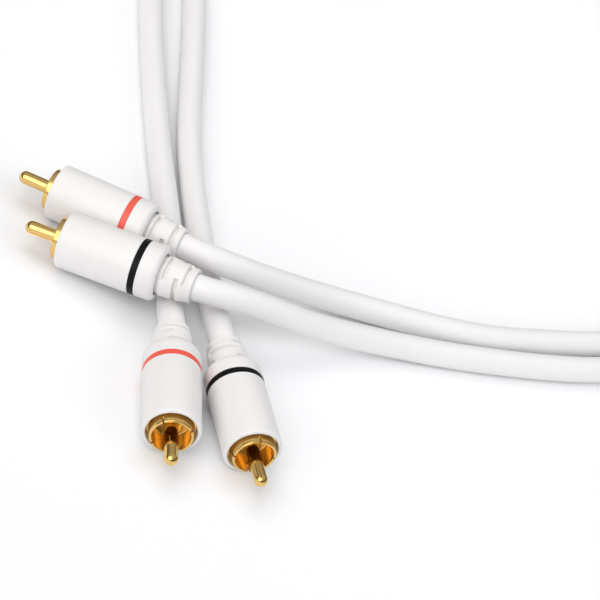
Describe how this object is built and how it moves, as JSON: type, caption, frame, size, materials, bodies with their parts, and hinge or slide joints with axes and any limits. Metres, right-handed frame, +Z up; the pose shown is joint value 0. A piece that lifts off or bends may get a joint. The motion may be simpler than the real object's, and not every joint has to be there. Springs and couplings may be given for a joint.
{
  "type": "stereo phono audio cable",
  "caption": "White stereo audio cable: two round leads with gold phono plugs in white housings with red or black bands.",
  "frame": {"origin": "on the surface that the cable lies on, under the middle of the four plugs", "axes": "+Z up; -Y is the way the front red plug points; +X to the right, the way the left plugs' cords run"},
  "size_m": [0.1971, 0.2947, 0.0179],
  "materials": {
    "housing": "warm white moulded plastic, satin",
    "cord": "warm white soft PVC jacket",
    "gold": "polished gold plating on brass",
    "red_band": "coral red plastic ring, satin",
    "black_band": "black plastic ring, satin",
    "insulator": "natural moulded polymer, hidden",
    "copper": "bare copper, hidden"
  },
  "bodies": {
    "root": {"front_red_pin": "gold", "front_red_collar": "gold", "front_red_insulator": "insulator", "front_red_conductor": "copper", "front_red_dielectric": "insulator", "front_red_ferrule": "copper", "front_red_jacket_end": "cord", "front_red_core": "insulator", "front_red_housing": "housing", "front_red_band": "red_band", "front_red_relief": "housing", "front_black_pin": "gold", "front_black_collar": "gold", "front_black_insulator": "insulator", "front_black_conductor": "copper", "front_black_dielectric": "insulator", "front_black_ferrule": "copper", "front_black_jacket_end": "cord", "front_black_core": "insulator", "front_black_housing": "housing", "front_black_band": "black_band", "front_black_relief": "housing", "left_red_pin": "gold", "left_red_collar": "gold", "left_red_insulator": "insulator", "left_red_conductor": "copper", "left_red_dielectric": "insulator", "left_red_ferrule": "copper", "left_red_jacket_end": "cord", "left_red_core": "insulator", "left_red_housing": "housing", "left_red_band": "red_band", "left_red_relief": "housing", "left_black_pin": "gold", "left_black_collar": "gold", "left_black_insulator": "insulator", "left_black_conductor": "copper", "left_black_dielectric": "insulator", "left_black_ferrule": "copper", "left_black_jacket_end": "cord", "left_black_core": "insulator", "left_black_housing": "housing", "left_black_band": "black_band", "left_black_relief": "housing", "front_red_cord": "cord", "front_black_cord": "cord", "left_red_cord": "cord", "left_black_cord": "cord", "coil": "cord"}
  },
  "joints": []
}
